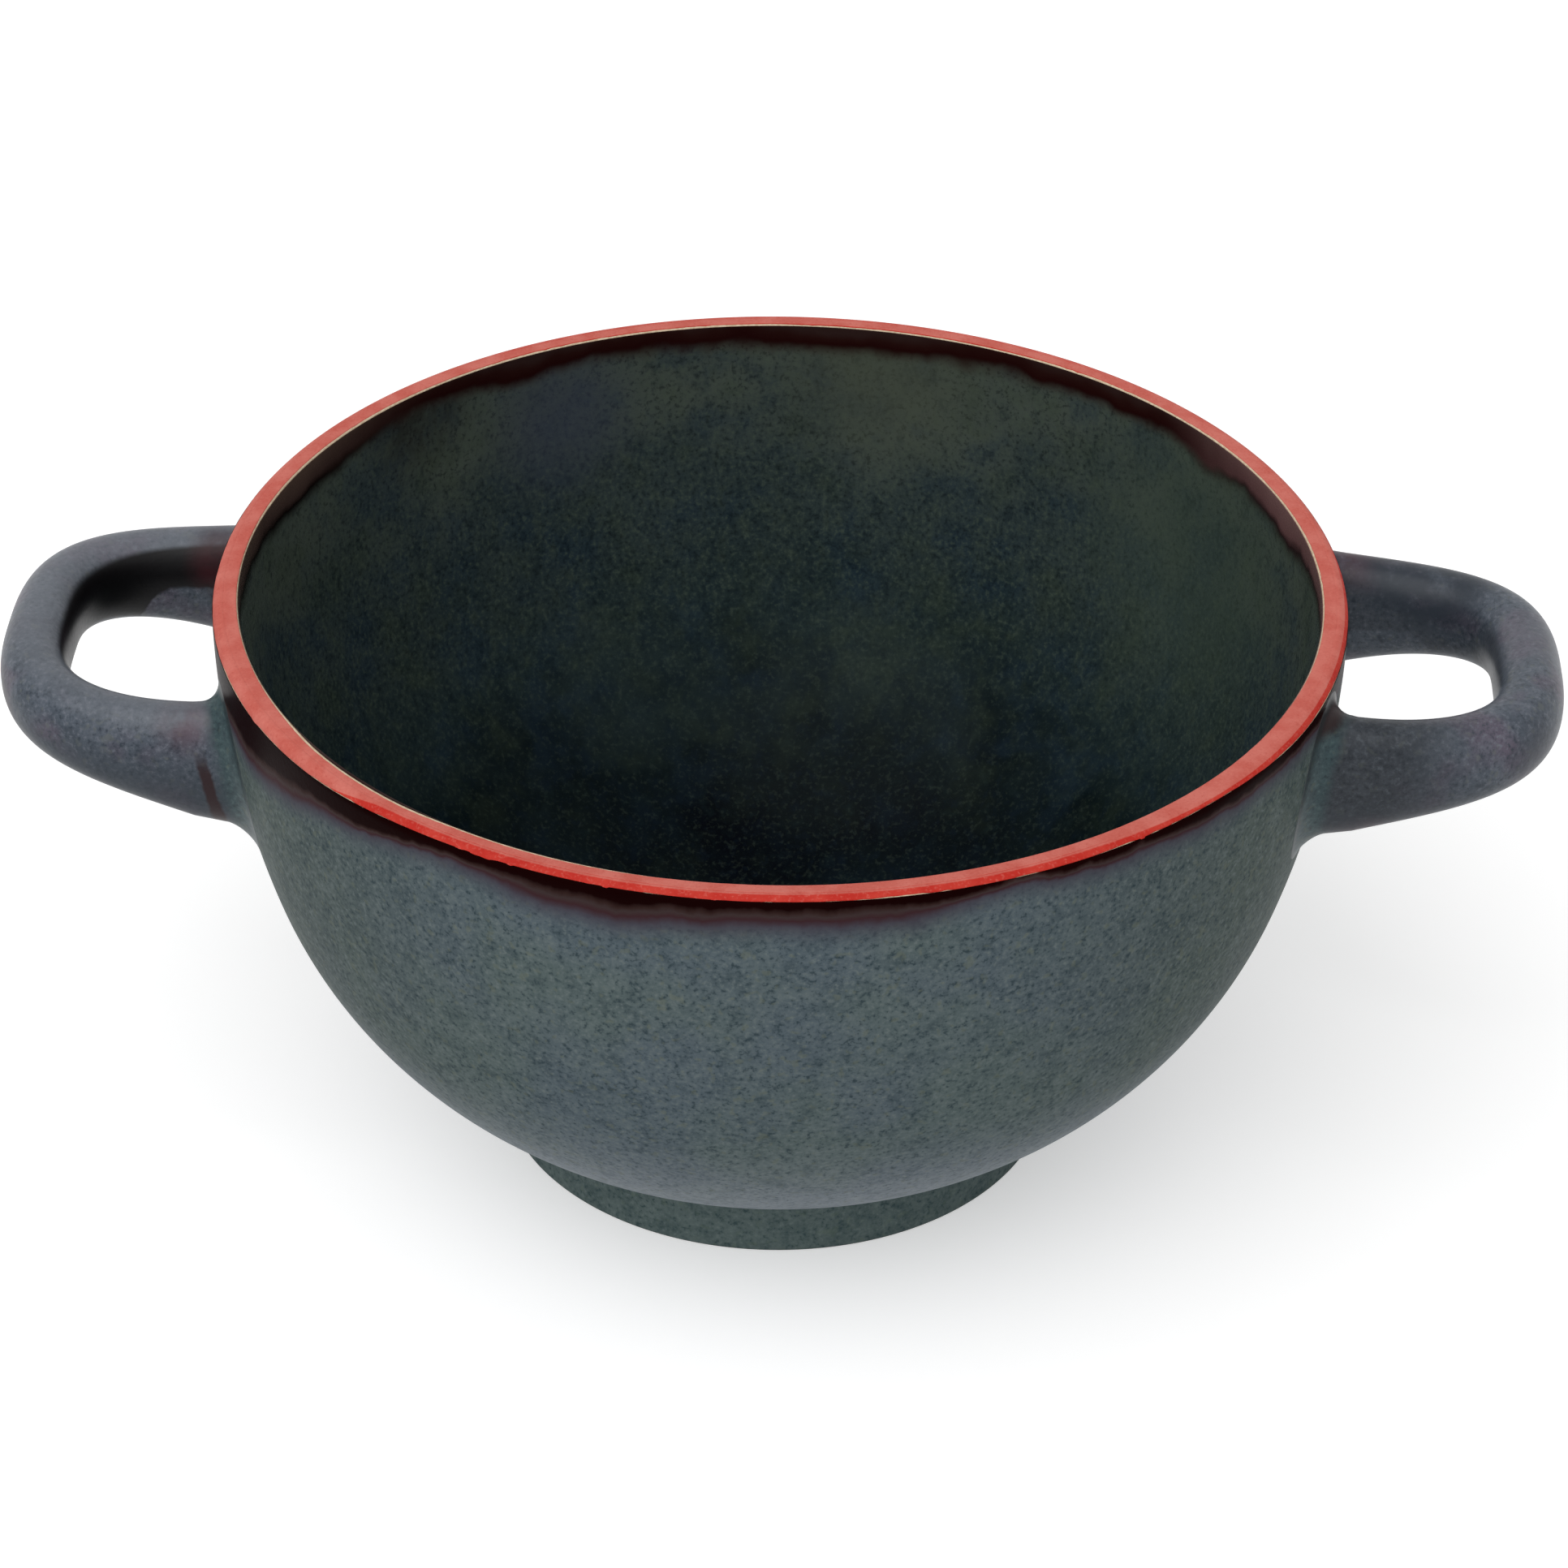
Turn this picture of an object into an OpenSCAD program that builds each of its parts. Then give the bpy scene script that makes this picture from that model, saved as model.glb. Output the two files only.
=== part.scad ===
// Lug soup bowl: a round stoneware bowl on a turned foot ring, with a loop handle on each side,
// a red band over the lip and a coat of glaze inside and out.
// Millimetres, +Z up. The origin is on the table under the bowl's axis, and the handles point
// along X. The clay parts are luted together before firing, and the coats lie over them.

/* [Bowl] */
// Outer diameter at the rim
rim_d = 131.2; // [118:0.2:144]
// Height from the table to the top of the rim
bowl_h = 72.5; // [68:0.1:80]
// Height of the upper wall, from the lip's rounding down to the belly
upper_h = 32; // [26:0.1:38]
// How far the upper wall draws in on the radius, from the rim to the belly
draw_in = 4.8; // [3:0.1:7]
// Thickness of the lip
lip_t = 3.05; // [2.4:0.05:3.6]
// Rounding of the lip's two edges
lip_edge_r = 0.9; // [0.75:0.05:1.15]
// Thickness of the wall at the belly
wall_t = 3.7; // [3.2:0.1:6]
// Thickness of the floor
floor_t = 4.5; // [3:0.1:7]
// Height of the underside above the table, inside the foot ring
under_z = 2.7; // [1.6:0.1:4.5]

/* [Foot ring] */
// Outer diameter of the foot ring
foot_d = 67; // [58:0.1:76]
// Width of the foot ring
foot_w = 5.2; // [4:0.1:7]
// Rounding of the foot ring's two lower edges
foot_edge_r = 0.5; // [0.3:0.1:1.5]

/* [Rim band and glaze] */
// Thickness of the glaze and of the rim band
coat_t = 0.5; // [0.3:0.05:0.7]
// Height of the bare clay line between the rim band and the inner glaze
bare_h = 0.2; // [0.1:0.05:0.5]

/* [Handles] */
// How far each handle stands out past the rim
lug_reach = 25.4; // [21:0.1:32]
// How far inside the rim's radius the handle's loop starts
lug_bury = 5.6; // [3:0.1:6.5]
// Distance between the centrelines of a handle's two arms
lug_w = 37.6; // [32:0.1:44]
// Thickness of the grip, seen from above
grip_t = 8; // [6:0.1:10]
// Height of the grip
grip_h = 10.1; // [8:0.1:14]
// Thickness of an arm at the wall, seen from above
root_t = 7.2; // [6:0.1:11]
// Height of an arm at the wall
root_h = 17.5; // [12:0.1:18]
// Depth below the rim of the middle of the left handle's arms, at the wall
left_root_drop = 15.8; // [13:0.1:20]
// Depth below the rim of the middle of the right handle's arms, at the wall
right_root_drop = 12.7; // [12:0.1:20]
// Depth below the rim of the middle of the left grip
left_grip_drop = 11.8; // [6:0.1:18]
// Depth below the rim of the middle of the right grip
right_grip_drop = 10.3; // [6:0.1:18]
// Angle by which the left handle rises towards the back
left_tilt = 2.3; // [-4:0.1:4]
// Angle by which the right handle rises towards the back
right_tilt = -0.8; // [-4:0.1:4]
// Radius of the slip fillet round each arm at the wall
fillet_r = 2.5; // [1:0.1:3]

/* [Hidden] */
$fn = 180;

// Overrun of a cut past the surface that it leaves
over = 1;

// Places along the bowl's profile
rim_r = rim_d / 2;
lip_z = bowl_h - lip_edge_r;
belly_z = lip_z - upper_h;
mouth_r = rim_r - lip_t;
mouth_draw_in = draw_in + wall_t - lip_t;
floor_z = under_z + floor_t;
foot_r = foot_d / 2;
foot_bore_r = foot_r - foot_w;

// Places and powers of the handles: a power of 2 makes an ellipse, and a higher one a squarer oval
loop_x = rim_r - lug_bury;
loop_len = lug_reach + lug_bury - grip_t / 2;
loop_power = 3;
bar_power = 2.2;
flare_power = 2;

// Each handle's seat: height of its arms' middle at the wall, height of its grip's middle, and rise
// for each millimetre towards the back
left_seat = [bowl_h - left_root_drop, bowl_h - left_grip_drop, tan(left_tilt)];
right_seat = [bowl_h - right_root_drop, bowl_h - right_grip_drop, tan(right_tilt)];

// Straight steps round each small rounded edge
edge_steps = 6;

// Counts and fillet angles of the handles' sweep
bar_sides = 24;
loop_steps = 44;
fillet_angles = [0, 20, 40, 58, 75];
plug_first_angle = 2;

// Radius of the arc that stands upright at the top of the upper wall and draws in below it
function upper_arc(draw) = (upper_h * upper_h + draw * draw) / (2 * draw);

// Angle from upright at which that arc meets the belly's arc
function belly_slope(draw) = asin(upper_h / upper_arc(draw));

// Radius of the belly's arc, which runs on smoothly and ends level at the base
function lower_arc(draw, base_z) = (belly_z - base_z) / (1 - sin(belly_slope(draw)));

// Radius at which the belly's arc ends and the level base starts
function base_r(top_r, draw, base_z) = top_r - draw - lower_arc(draw, base_z) * cos(belly_slope(draw));

// Everything inside one of the wall's two outlines, up to the lip, grown or shrunk evenly. The seam
// between its two arcs runs straight out from the belly arc's centre, and a wedge just under the
// surface ties both sides of the seam together.
module bell(top_r, draw, base_z, grow) {
    upper_r = upper_arc(draw);
    lower_r = lower_arc(draw, base_z);
    slope = belly_slope(draw);
    turn_r = base_r(top_r, draw, base_z);
    turn_z = base_z + lower_r;
    axis_z = turn_z + turn_r * tan(slope);
    seam_r = turn_r + (lower_r + over) * cos(slope);
    seam_z = turn_z - (lower_r + over) * sin(slope);
    low_z = base_z - over;
    out_r = top_r + over;
    intersection() {
        translate([top_r - upper_r, lip_z]) circle(upper_r + grow);
        polygon([[0, axis_z], [turn_r, turn_z], [seam_r, seam_z], [out_r, seam_z], [out_r, lip_z], [0, lip_z]]);
    }
    intersection() {
        translate([turn_r, turn_z]) circle(lower_r + grow);
        polygon([[turn_r, turn_z], [seam_r, seam_z], [seam_r, low_z], [turn_r, low_z]]);
    }
    intersection() {
        translate([turn_r, turn_z]) circle(lower_r + grow - coat_t / 2);
        polygon([[turn_r, turn_z], [seam_r, seam_z - over], [seam_r, seam_z + over]]);
    }
    polygon([[0, base_z - grow], [turn_r, base_z - grow], [turn_r, turn_z], [0, axis_z]]);
}

// Inside the outer outline
module outside_bell(grow) {
    bell(rim_r, draw_in, under_z, grow);
}

// Inside the inner outline, which is the hollow
module hollow_bell(grow) {
    bell(mouth_r, mouth_draw_in, floor_z, grow);
}

// Points of a quarter circle, from an angle on
function quarter(centre, radius, first_angle) =
    [for (i = [0:edge_steps])
        let (angle = first_angle + 90 * i / edge_steps)
        centre + radius * [cos(angle), sin(angle)]];

// A strip that stands on the X axis, with its two upper corners rounded
module rounded_strip(width, edge_r) {
    right_corner = quarter([width - edge_r, 0], edge_r, 0);
    left_corner = quarter([edge_r, 0], edge_r, 90);
    polygon(concat(right_corner, left_corner));
}

// Section of the lip's rounding, less a skin of the given depth
module lip_section(skin) {
    translate([mouth_r + skin, lip_z]) rounded_strip(lip_t - 2 * skin, lip_edge_r - skin);
}

// Section of the wall, floor and lip, less a skin of the given depth
module shell_section(skin) {
    difference() {
        outside_bell(-skin);
        hollow_bell(skin);
    }
    lip_section(skin);
}

// Section of the foot ring's sides above its rounded sole, less a skin of the given depth
module foot_sides(skin) {
    translate([foot_bore_r + skin, foot_edge_r]) square([foot_w - 2 * skin, belly_z - foot_edge_r]);
}

module bowl_body() {
    color("#cdbfa6") rotate_extrude() shell_section(coat_t);
}

// Section of the foot's clay: above the rounded sole its sides stand a coat's depth inside the glaze
module foot_section() {
    in_r = foot_bore_r + coat_t;
    out_r = foot_r - coat_t;
    inner_corner = quarter([foot_bore_r + foot_edge_r, foot_edge_r], foot_edge_r, 180);
    outer_corner = quarter([foot_r - foot_edge_r, foot_edge_r], foot_edge_r, 270);
    sides = [[out_r, foot_edge_r], [out_r, belly_z], [in_r, belly_z], [in_r, foot_edge_r]];
    polygon(concat(inner_corner, outer_corner, sides));
}

module foot_ring() {
    color("#bfae92") rotate_extrude() difference() {
        foot_section();
        outside_bell(-coat_t);
    }
}

// The band covers the lip's rounding, and leaves a line of bare clay above the inner glaze
module rim_band() {
    color("#d0655a") rotate_extrude() difference() {
        lip_section(0);
        lip_section(coat_t);
        translate([mouth_r - over, lip_z - over]) square([lip_t / 2 + over, bare_h + over]);
    }
}

module inner_glaze() {
    color("#222b29") rotate_extrude() difference() {
        hollow_bell(coat_t);
        hollow_bell(0);
    }
}

// The coat runs from the rim band down the wall and the foot's side, and covers the underside
// inside the foot. The arms pass through it to the clay.
module outer_glaze() {
    color("#535c62") difference() {
        rotate_extrude() difference() {
            union() {
                outside_bell(0);
                foot_sides(0);
            }
            outside_bell(-coat_t);
            foot_sides(coat_t);
        }
        mirror([1, 0, 0]) arm_plugs(left_seat);
        arm_plugs(right_seat);
    }
}

// Radius of the glazed outer wall at a height
function wall_r(z) =
    let (
        upper_r = upper_arc(draw_in),
        lower_r = lower_arc(draw_in, under_z),
        turn_r = base_r(rim_r, draw_in, under_z),
        rise = max(lower_r + under_z - z, 0)
    )
    z > belly_z
        ? rim_r - upper_r + sqrt(upper_r * upper_r - pow(lip_z - z, 2))
        : turn_r + sqrt(lower_r * lower_r - rise * rise);

// Distance of the glazed outer wall from the middle plane, at a place on the arm's section
function wall_x(y, z) = sqrt(pow(wall_r(z), 2) - y * y);

// A power that keeps the sign
function bent(v, power) = sign(v) * pow(abs(v), power);

// Half the distance between the arms, at a distance along the loop
function arm_y(along) = lug_w / 2 * pow(1 - pow(along / loop_len, loop_power), 1 / loop_power);

// Height of the bar's middle, and half its thickness and height, at a distance along the loop
function bar_z(along, seat) = seat[0] + (seat[1] - seat[0]) * along / loop_len;
function root_share(along) = pow(1 - along / loop_len, flare_power);
function bar_half_t(along) = (grip_t + (root_t - grip_t) * root_share(along)) / 2;
function bar_half_h(along) = (grip_h + (root_h - grip_h) * root_share(along)) / 2;

// Where the bar ends and the fillets start, far enough out to clear the wall on every side
function arm_end() = sqrt(rim_r * rim_r - pow((lug_w - root_t) / 2, 2)) + fillet_r - loop_x;

// One ring of points round the bar, at an angle seen from the middle of the loop's start
function bar_ring(angle, seat) =
    let (
        half_w = lug_w / 2,
        across = pow(cos(angle) / loop_len, loop_power) + pow(abs(sin(angle)) / half_w, loop_power),
        radius = pow(across, -1 / loop_power),
        along = radius * cos(angle),
        side = radius * sin(angle),
        slope_x = pow(along / loop_len, loop_power - 1) / loop_len,
        slope_y = bent(side / half_w, loop_power - 1) / half_w,
        out = [slope_x, slope_y] / norm([slope_x, slope_y])
    )
    [for (i = [0 : bar_sides - 1])
        let (
            turn = 360 * i / bar_sides,
            off = bar_half_t(along) * bent(cos(turn), 2 / bar_power),
            up = bar_half_h(along) * bent(sin(turn), 2 / bar_power),
            y = side + off * out[1]
        )
        [loop_x + along + off * out[0], y, bar_z(along, seat) + up + y * seat[2]]];

// One ring of the fillet at the end of the back arm (+1) or front arm (-1). The fillet angle is 0
// where the fillet leaves the arm and 90 where it would meet the wall. A sunk ring lies in the clay.
function fillet_ring(arm, angle, seat, sunk) =
    let (
        stand_off = fillet_r * (1 - sin(angle)),
        flare = fillet_r * (1 - cos(angle)),
        along = wall_x(lug_w / 2, seat[0]) + stand_off - loop_x,
        half_t = bar_half_t(along),
        half_h = bar_half_h(along)
    )
    [for (i = [0 : bar_sides - 1])
        let (
            turn = 360 * i / bar_sides,
            slope_y = bent(cos(turn), 2 - 2 / bar_power) / half_t,
            slope_z = bent(sin(turn), 2 - 2 / bar_power) / half_h,
            out = [slope_y, slope_z] / norm([slope_y, slope_z]),
            y = arm * (arm_y(along) + half_t * bent(cos(turn), 2 / bar_power) + flare * out[0]),
            up = half_h * bent(sin(turn), 2 / bar_power) + flare * out[1],
            z = bar_z(along, seat) + up + y * seat[2],
            wall = wall_x(y, z)
        )
        [sunk ? wall - coat_t - over : wall + stand_off, y, z]];

// The fillet's rings from the given one to the sunk end, inward along the arm
function fillet_rings(arm, first, seat) =
    let (
        last = len(fillet_angles) - 1,
        end_angle = fillet_angles[last]
    )
    concat(
        [for (i = [first : last]) fillet_ring(arm, fillet_angles[i], seat, false)],
        [fillet_ring(arm, end_angle, seat, true)]
    );

function reversed(list) = [for (i = [len(list) - 1 : -1 : 0]) list[i]];
function middle(ring) = [for (point = ring) 1] * ring / len(ring);

// The whole loop, from the front arm's sunk end round the grip to the back arm's
function loop_rings(seat) =
    let (
        end = arm_end(),
        end_angle = atan2(arm_y(end), end)
    )
    concat(
        reversed(fillet_rings(-1, 0, seat)),
        [for (i = [0 : loop_steps]) bar_ring(end_angle * (2 * i / loop_steps - 1), seat)],
        fillet_rings(1, 0, seat)
    );

// A closed skin over a row of rings, with a fan of triangles over each end
module skin_over(rings) {
    sides = len(rings[0]);
    last = len(rings) - 1;
    points = concat([for (ring = rings) each ring], [middle(rings[0]), middle(rings[last])]);
    start = (last + 1) * sides;
    walls = [for (i = [0 : last - 1], j = [0 : sides - 1])
        let (
            a = i * sides + j,
            b = i * sides + (j + 1) % sides,
            c = b + sides,
            d = a + sides
        )
        each [[a, b, c], [a, c, d]]];
    near_end = [for (j = [0 : sides - 1]) [start, (j + 1) % sides, j]];
    far_end = [for (j = [0 : sides - 1]) [start + 1, last * sides + j, last * sides + (j + 1) % sides]];
    polyhedron(points, concat(walls, near_end, far_end), convexity = 6);
}

module handle(seat) {
    difference() {
        skin_over(loop_rings(seat));
        rotate_extrude() outside_bell(-coat_t);
    }
}

// The two ends of a handle where they pass through the outer glaze
module arm_plugs(seat) {
    skin_over(fillet_rings(1, plug_first_angle, seat));
    skin_over(reversed(fillet_rings(-1, plug_first_angle, seat)));
}

module left_handle() {
    color("#5a606b") mirror([1, 0, 0]) handle(left_seat);
}

module right_handle() {
    color("#5a606b") handle(right_seat);
}

bowl_body();
foot_ring();
rim_band();
inner_glaze();
outer_glaze();
left_handle();
right_handle();
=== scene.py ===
"""Looks of the lug soup bowl. Metres, +Z up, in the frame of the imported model."""

import math

import bmesh
import bpy
import numpy as np
from mathutils import Matrix, Vector


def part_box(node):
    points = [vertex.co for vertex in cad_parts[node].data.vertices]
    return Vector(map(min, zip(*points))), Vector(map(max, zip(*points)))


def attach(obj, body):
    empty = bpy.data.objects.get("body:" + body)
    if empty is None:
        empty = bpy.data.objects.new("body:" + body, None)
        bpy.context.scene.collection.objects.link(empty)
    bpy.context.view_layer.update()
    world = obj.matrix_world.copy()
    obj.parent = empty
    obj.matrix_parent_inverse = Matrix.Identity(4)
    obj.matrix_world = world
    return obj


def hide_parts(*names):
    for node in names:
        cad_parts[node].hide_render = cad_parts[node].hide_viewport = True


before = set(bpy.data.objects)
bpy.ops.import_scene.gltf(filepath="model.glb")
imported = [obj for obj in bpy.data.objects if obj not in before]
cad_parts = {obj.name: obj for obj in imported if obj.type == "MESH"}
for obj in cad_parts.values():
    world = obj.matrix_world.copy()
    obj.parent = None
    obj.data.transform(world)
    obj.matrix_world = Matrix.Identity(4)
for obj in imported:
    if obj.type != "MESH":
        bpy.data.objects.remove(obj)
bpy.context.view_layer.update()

MM = 0.001

# Sizes from the frame
rim_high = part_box("rim_band")[1]
RIM_R = rim_high.y
RIM_Z = rim_high.z
FOOT_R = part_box("foot_ring")[1].y
HANDLE_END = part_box("right_handle")[1].x

# Sizes of the wall, as in the part's source
UPPER_H = 32.0 * MM
DRAW_IN = 4.8 * MM
LIP_T = 3.05 * MM
LIP_DROP = 0.9 * MM
WALL_T = 3.7 * MM
FLOOR_T = 4.5 * MM
UNDER_Z = 2.7 * MM
FOOT_W = 5.2 * MM
FOOT_EDGE_R = 0.5 * MM

# Sizes of the lip, the coats and their edges
LIP_OUT_R = 1.35 * MM
LIP_IN_R = 0.4 * MM
COAT_T = 0.06 * MM
CLAY_DEPTH = 0.07 * MM
BAND_IN_DROP = 0.07 * MM
BAND_OUT_DROP = 0.48 * MM
INNER_GAP = 0.26 * MM
OUTER_GAP = 0.02 * MM
INNER_STRETCH = 3 * MM
OUTER_STRETCH = 4 * MM
FOOT_FILLET_R = 1.3 * MM
BORE_FILLET_R = 1.6 * MM
FOOT_WRAP_DEGREES = 62

# The band's edges. Swells are (height, place round the rim, width) with both angles in degrees, waves are
# (count round the rim, height), and chips are (angle from one to the next in radians, depth). Near its
# edges and in a crease the band's face is sunk, by a depth and over a width.
INNER_SWELLS = ((0.3 * MM, -128, 26), (0.4 * MM, -134, 11))
OUTER_SWELLS = ((0.75 * MM, -153, 24), (0.75 * MM, -12, 22))
INNER_WAVES = ((3, 0.03 * MM), (7, 0.03 * MM), (16, 0.02 * MM))
OUTER_WAVES = ((2, 0.06 * MM), (5, 0.05 * MM), (13, 0.04 * MM), (31, 0.03 * MM))
INNER_CHIPS = (0.012, 0.035 * MM)
OUTER_CHIPS = (0.014, 0.09 * MM)
KNOT_SHARE = 0.35
NICK_CHANCE = 0.07
NICK_SHARES = (0.5, 2.2)
BAND_SINK = 0.06 * MM
BAND_SINK_W = 0.12 * MM
CREASE_DEPTH = 0.05 * MM
CREASE_W = 0.07 * MM
CREASE_DROP = 0.2 * MM

# Sizes of the handles, as in the part's source. A seat is the height of the bar's middle at the wall and at
# the grip, and its slope from front to back.
LUG_BURY = 5.6 * MM
LUG_W = 37.6 * MM
GRIP_T = 8.0 * MM
GRIP_H = 10.1 * MM
ROOT_T = 7.2 * MM
ROOT_H = 17.5 * MM
FILLET_R = 2.5 * MM
LOOP_POWER = 3
BAR_POWER = 2.2
LEFT_SEAT = (RIM_Z - 15.8 * MM, RIM_Z - 11.8 * MM, math.tan(math.radians(2.3)))
RIGHT_SEAT = (RIM_Z - 12.7 * MM, RIM_Z - 10.3 * MM, math.tan(math.radians(-0.8)))

# How far round its quarter turn a fillet is drawn before its end, which is sunk in the wall
FILLET_DEGREES = 88
FILLET_SINK = 0.3 * MM

# Sizes that follow from these
LIP_Z = RIM_Z - LIP_DROP
BELLY_Z = LIP_Z - UPPER_H
FLOOR_Z = UNDER_Z + FLOOR_T
FOOT_BORE_R = FOOT_R - FOOT_W
LOOP_X = RIM_R - LUG_BURY
LOOP_LEN = HANDLE_END - LOOP_X - GRIP_T / 2

# Points round the bowl, the bar and the stretches of the outlines
TURNS = 288
BAND_TURNS = 1080
WALL_POINTS = 60
FLOOR_POINTS = 12
TOP_POINTS = 14
LIP_POINTS = 22
SMALL_POINTS = 9
FOOT_EDGE_POINTS = 10
BORE_POINTS = 3
BAND_POINTS = 40
BAND_UNDER_STEP = 3
INNER_EDGE_POINTS = 40
OUTER_EDGE_POINTS = 14
BAR_SIDES = 72
BAR_RINGS = 150
FILLET_RINGS = 12

# Points of a mesh nearer than WELD are one. A cut outline has no point nearer than NEAR to a cut, and the
# shell's outline none nearer than AXIS_GAP to the bowl's axis but the one on it.
WELD = 0.001 * MM
NEAR = 0.01 * MM
AXIS_GAP = 1 * MM

# Where the two points across a skin's end are, as shares of its thickness
END_SHARES = (0.33, 0.66)

# Edges with a larger angle than these, in general and on the bars, are shown sharp
SHARP_DEGREES = 40
BAR_SHARP_DEGREES = 60


# Outlines

def arc(centre, radius, start, end, count):
    """Points along an arc between two angles in degrees, measured from the outward direction."""
    angles = np.radians(np.linspace(start, end, count))
    return np.column_stack([centre[0] + radius * np.cos(angles), centre[1] + radius * np.sin(angles)])


def bell_arcs(top_r, draw, base_z):
    """Centres and radii of a wall's upper and belly arcs, and the slope where they meet."""
    upper_r = (UPPER_H ** 2 + draw ** 2) / (2 * draw)
    slope = math.asin(UPPER_H / upper_r)
    lower_r = (BELLY_Z - base_z) / (1 - math.sin(slope))
    turn_r = top_r - draw - lower_r * math.cos(slope)
    return (top_r - upper_r, LIP_Z), upper_r, (turn_r, base_z + lower_r), lower_r, math.degrees(slope)


def bell(top_r, draw, base_z, lowest):
    """A wall's outline from the lip down to an angle below level on the belly's arc."""
    upper, upper_r, lower, lower_r, slope = bell_arcs(top_r, draw, base_z)
    belly = arc(lower, lower_r, -slope, -lowest, WALL_POINTS)
    return np.vstack([arc(upper, upper_r, 0, -slope, WALL_POINTS), belly[1:]])


def wall_r(z):
    """Radius of the outer wall at a height."""
    upper, upper_r, lower, lower_r = bell_arcs(RIM_R, DRAW_IN, UNDER_Z)[:4]
    high = upper[0] + np.sqrt(np.maximum(upper_r ** 2 - (upper[1] - z) ** 2, 0))
    low = lower[0] + np.sqrt(np.maximum(lower_r ** 2 - (lower[1] - z) ** 2, 0))
    return np.where(z > BELLY_Z, high, low)


def foot_fillet():
    """Centre of the fillet between the wall and the foot's side, and the angle of its upper end."""
    lower, lower_r = bell_arcs(RIM_R, DRAW_IN, UNDER_Z)[2:4]
    centre_r = FOOT_R + FOOT_FILLET_R
    reach = lower_r + FOOT_FILLET_R
    centre_z = lower[1] - math.sqrt(reach ** 2 - (centre_r - lower[0]) ** 2)
    return (centre_r, centre_z), math.degrees(math.atan2(lower[1] - centre_z, centre_r - lower[0]))


def wall_outline():
    """The bowl's outline, from the middle of the hollow's floor over the lip to the foot's lower edge."""
    inside = bell(RIM_R - LIP_T, DRAW_IN + WALL_T - LIP_T, FLOOR_Z, 90)[::-1]
    floor = np.linspace((0, FLOOR_Z), (inside[0][0], FLOOR_Z), FLOOR_POINTS)[:-1]
    in_edge = arc((RIM_R - LIP_T + LIP_IN_R, RIM_Z - LIP_IN_R), LIP_IN_R, 180, 90, SMALL_POINTS)
    out_edge = arc((RIM_R - LIP_OUT_R, RIM_Z - LIP_OUT_R), LIP_OUT_R, 90, 0, LIP_POINTS)
    top = np.linspace((in_edge[-1][0], RIM_Z), (out_edge[0][0], RIM_Z), TOP_POINTS)[1:-1]
    centre, slope = foot_fillet()
    outside = bell(RIM_R, DRAW_IN, UNDER_Z, slope)
    outside = outside[outside[:, 1] < out_edge[-1][1]]
    inside = inside[inside[:, 1] < in_edge[0][1]]
    fillet = arc(centre, FOOT_FILLET_R, 180 - slope, 180, SMALL_POINTS)[1:]
    side = np.linspace((FOOT_R, centre[1]), (FOOT_R, FOOT_EDGE_R), SMALL_POINTS)[1:]
    sole = (FOOT_R - FOOT_EDGE_R, FOOT_EDGE_R)
    wrap = arc(sole, FOOT_EDGE_R, 0, -FOOT_WRAP_DEGREES, FOOT_EDGE_POINTS)[1:]
    return np.vstack([floor, inside, in_edge, top, out_edge, outside, fillet, side, wrap])


def lengths(points):
    """Distance along an outline to each of its points."""
    steps = np.linalg.norm(np.diff(points, axis=0), axis=1)
    return np.concatenate([[0], np.cumsum(steps)])


def inward(points):
    """Unit normals to the right of an outline's direction, which point into the clay."""
    run = np.gradient(points, axis=0)
    run /= np.linalg.norm(run, axis=1)[:, None]
    return np.column_stack([run[:, 1], -run[:, 0]])


def skin_loop(points):
    """A closed loop round a thin skin under an outline, with two points across each end."""
    under = points + inward(points) * COAT_T
    ends = []
    for end, back in ((points[-1], under[-1]), (under[0], points[0])):
        ends.append(np.array([end + (back - end) * share for share in END_SHARES]))
    return np.vstack([points, ends[0], under[::-1], ends[1]])


OUTLINE = wall_outline()
ALONG = lengths(OUTLINE)


def along_of_depth(depth, outside):
    """Distance along the outline of the point at a depth below the rim, on one side of the lip."""
    from_middle = np.abs(OUTLINE[:, 0] - (RIM_R - LIP_T / 2))
    middle = np.argmin(np.where(OUTLINE[:, 1] < LIP_Z, RIM_R, from_middle))
    side = slice(middle, None) if outside else slice(middle, None, -1)
    return np.interp(depth, RIM_Z - OUTLINE[side, 1], ALONG[side])


BAND_START = along_of_depth(BAND_IN_DROP, False)
BAND_END = along_of_depth(BAND_OUT_DROP, True)


def distances_between(start, end):
    """Two distances along the outline, with those of its points between them."""
    middle = ALONG[(ALONG > start + NEAR) & (ALONG < end - NEAR)]
    return np.concatenate([[start], middle, [end]])


# Meshes

def grid_mesh(name, grids, sharp):
    """One mesh of closed grids. A grid holds rows of points, and wraps round along its rows and columns
    as its two flags say. Points in one place are welded."""
    points, faces, start = [], [], 0
    for grid, wrap_rows, wrap_columns in grids:
        rows, columns = grid.shape[:2]
        points.append(grid.reshape(-1, 3))
        i, j = np.meshgrid(np.arange(rows if wrap_rows else rows - 1),
                           np.arange(columns if wrap_columns else columns - 1), indexing="ij")
        next_i, next_j = (i + 1) % rows, (j + 1) % columns
        corners = [i * columns + j, next_i * columns + j, next_i * columns + next_j, i * columns + next_j]
        faces.append(np.stack(corners, -1).reshape(-1, 4) + start)
        start += rows * columns
    mesh = bpy.data.meshes.new(name)
    mesh.from_pydata(np.vstack(points).tolist(), [], np.vstack(faces).tolist())
    work = bmesh.new()
    work.from_mesh(mesh)
    bmesh.ops.remove_doubles(work, verts=work.verts, dist=WELD)
    bmesh.ops.recalc_face_normals(work, faces=work.faces)
    work.to_mesh(mesh)
    work.free()
    mesh.shade_smooth()
    mesh.set_sharp_from_angle(angle=math.radians(sharp))
    return mesh


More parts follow.
